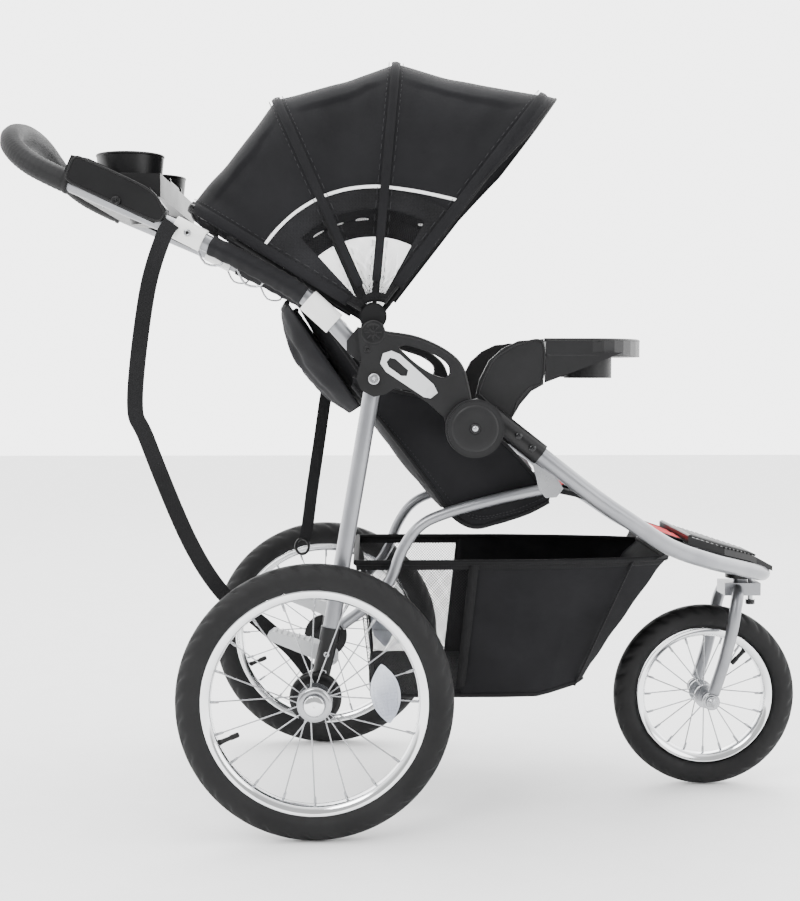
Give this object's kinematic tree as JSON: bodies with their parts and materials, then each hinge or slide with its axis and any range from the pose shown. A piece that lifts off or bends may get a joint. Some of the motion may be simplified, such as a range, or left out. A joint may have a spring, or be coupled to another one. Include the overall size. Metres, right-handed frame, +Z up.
{
  "type": "jogging stroller",
  "caption": "Folding three-wheel jogging stroller with swivelling front wheel, reclining seat, tilting canopy, trays and basket.",
  "frame": {"origin": "on the floor, under the middle of the stroller's bounding box", "axes": "+X forward (towards the front wheel), +Y to the left, +Z up"},
  "size_m": [1.2389, 0.612, 1.1402],
  "materials": {
    "silver_tube": "satin silver paint",
    "black_plastic": "satin moulded plastic",
    "grey_plastic": "fine-grained moulded plastic",
    "light_plastic": "light grey moulded plastic",
    "white_plastic": "white moulded plastic",
    "rubber_grip": "patterned soft rubber",
    "fabric": "charcoal woven polyester",
    "red_fabric": "red and black woven polyester",
    "mesh_fabric": "woven polyester and open mesh",
    "webbing": "ribbed webbing",
    "tyre": "matt rubber with moulded tread",
    "chrome": "polished chrome",
    "steel": "bright zinc plate",
    "reflector": "clear prismatic plastic"
  },
  "bodies": {
    "frame": {"front_tube": "silver_tube", "tube_sockets": "black_plastic", "fold_discs": "grey_plastic", "fold_pins": "steel", "ear_plates": "steel", "frame_rivets": "steel", "tray_arms": "grey_plastic", "footrest": "black_plastic", "steering_head": "black_plastic", "seat_pan": "fabric", "calf_panel": "red_fabric", "basket": "mesh_fabric", "harness": "webbing"},
    "child_tray": {"child_tray": "grey_plastic"},
    "handle": {"handle_bar": "silver_tube", "grip": "rubber_grip", "parent_tray": "black_plastic", "tube_collars": "white_plastic", "side_brackets": "grey_plastic", "leg_pins": "steel", "tube_bushes": "white_plastic", "wire_hooks": "steel", "canopy_hubs": "black_plastic", "tether_strap": "webbing"},
    "tray_lid": {"tray_lid": "black_plastic"},
    "latch_left": {"latch_left": "light_plastic"},
    "latch_right": {"latch_right": "light_plastic"},
    "rear_bow": {"rear_bow": "steel"},
    "second_bow": {"second_bow": "steel", "canopy_rear_panel": "fabric"},
    "third_bow": {"third_bow": "steel", "canopy_mid_panel": "fabric"},
    "front_bow": {"front_bow": "steel", "canopy_front_panel": "fabric"},
    "seat_back": {"seat_back": "fabric", "recline_strap": "webbing"},
    "legs": {"rear_legs": "silver_tube", "leg_boots": "black_plastic", "rear_axle": "steel", "drum_housings": "black_plastic"},
    "pedal_left": {"pedal_left": "light_plastic"},
    "pedal_right": {"pedal_right": "light_plastic"},
    "seat_tubes": {"seat_tubes": "silver_tube"},
    "wheel_left": {"tyre_left": "tyre", "rim_left": "chrome", "spokes_left": "steel", "hub_left": "steel", "reflector_left": "reflector"},
    "wheel_right": {"tyre_right": "tyre", "rim_right": "chrome", "spokes_right": "steel", "hub_right": "steel", "reflector_right": "reflector"},
    "fork": {"fork": "silver_tube", "front_axle": "steel"},
    "lock_pin": {"lock_pin": "steel"},
    "wheel_front": {"tyre_front": "tyre", "rim_front": "chrome", "spokes_front": "steel", "hub_front": "steel"}
  },
  "joints": [
    {"name": "fold", "type": "hinge", "parent": "frame", "child": "handle", "pos_m": [0.079, 0, 0.591], "axis": [0, 1, 0], "range_deg": [0, 140]},
    {"name": "leg_fold", "type": "hinge", "parent": "handle", "child": "legs", "pos_m": [-0.065, 0, 0.6615], "axis": [0, 1, 0], "range_deg": [-52, 0], "deforming": ["tether_strap"]},
    {"name": "tube_fold", "type": "hinge", "parent": "frame", "child": "seat_tubes", "pos_m": [0.194, 0, 0.499], "axis": [0, 1, 0], "range_deg": [0, 62]},
    {"name": "recline", "type": "hinge", "parent": "frame", "child": "seat_back", "pos_m": [0.05, 0, 0.452], "axis": [0, 1, 0], "range_deg": [-33, 0]},
    {"name": "canopy_tilt", "type": "hinge", "parent": "handle", "child": "rear_bow", "pos_m": [-0.066, 0, 0.752], "axis": [0, -1, 0], "range_deg": [-23, 0]},
    {"name": "canopy_close_second", "type": "hinge", "parent": "rear_bow", "child": "second_bow", "pos_m": [-0.066, 0, 0.752], "axis": [0, 1, 0], "range_deg": [-26.6, 0], "deforming": ["canopy_rear_panel"]},
    {"name": "canopy_close_third", "type": "hinge", "parent": "second_bow", "child": "third_bow", "pos_m": [-0.066, 0, 0.752], "axis": [0, 1, 0], "range_deg": [-21.4, 0], "deforming": ["canopy_mid_panel"]},
    {"name": "canopy_close_front", "type": "hinge", "parent": "third_bow", "child": "front_bow", "pos_m": [-0.066, 0, 0.752], "axis": [0, 1, 0], "range_deg": [-24.6, 0], "deforming": ["canopy_front_panel"]},
    {"name": "child_tray_slide", "type": "slide", "parent": "frame", "child": "child_tray", "axis": [1, 0, 0], "range_m": [0, 0.045]},
    {"name": "tray_lid_hinge", "type": "hinge", "parent": "handle", "child": "tray_lid", "pos_m": [-0.384, 0, 0.966], "axis": [0, 1, 0], "range_deg": [0, 80]},
    {"name": "latch_left_squeeze", "type": "hinge", "parent": "handle", "child": "latch_left", "pos_m": [0.016, 0, 0.643], "axis": [0, 1, 0], "range_deg": [0, 8], "stiffness_Nm_per_rad": 1.5},
    {"name": "latch_right_squeeze", "type": "hinge", "parent": "handle", "child": "latch_right", "pos_m": [0.016, 0, 0.643], "axis": [0, 1, 0], "range_deg": [0, 8], "stiffness_Nm_per_rad": 1.5},
    {"name": "brake_left", "type": "hinge", "parent": "legs", "child": "pedal_left", "pos_m": [-0.128, 0, 0.25], "axis": [0, 1, 0], "range_deg": [-22, 0]},
    {"name": "brake_right", "type": "hinge", "parent": "legs", "child": "pedal_right", "pos_m": [-0.128, 0, 0.25], "axis": [0, 1, 0], "range_deg": [-22, 0]},
    {"name": "wheel_left_spin", "type": "hinge", "parent": "legs", "child": "wheel_left", "pos_m": [-0.15, 0.28, 0.2], "axis": [0, 1, 0], "continuous": true},
    {"name": "wheel_right_spin", "type": "hinge", "parent": "legs", "child": "wheel_right", "pos_m": [-0.15, -0.28, 0.2], "axis": [0, 1, 0], "continuous": true},
    {"name": "fork_swivel", "type": "hinge", "parent": "frame", "child": "fork", "pos_m": [0.53, 0, 0.34], "axis": [0, 0, 1], "continuous": true},
    {"name": "swivel_lock", "type": "slide", "parent": "fork", "child": "lock_pin", "axis": [0, 0, 1], "range_m": [0, 0.008]},
    {"name": "wheel_front_spin", "type": "hinge", "parent": "fork", "child": "wheel_front", "pos_m": [0.472, 0, 0.147], "axis": [0, 1, 0], "continuous": true}
  ],
  "couplings": [
    {"joint": "leg_fold", "follows": "fold", "ratio": -0.36786},
    {"joint": "tube_fold", "follows": "fold", "ratio": 0.44},
    {"joint": "canopy_close_second", "follows": "fold", "ratio": -0.19},
    {"joint": "canopy_close_third", "follows": "fold", "ratio": -0.15214},
    {"joint": "canopy_close_front", "follows": "fold", "ratio": -0.175}
  ]
}
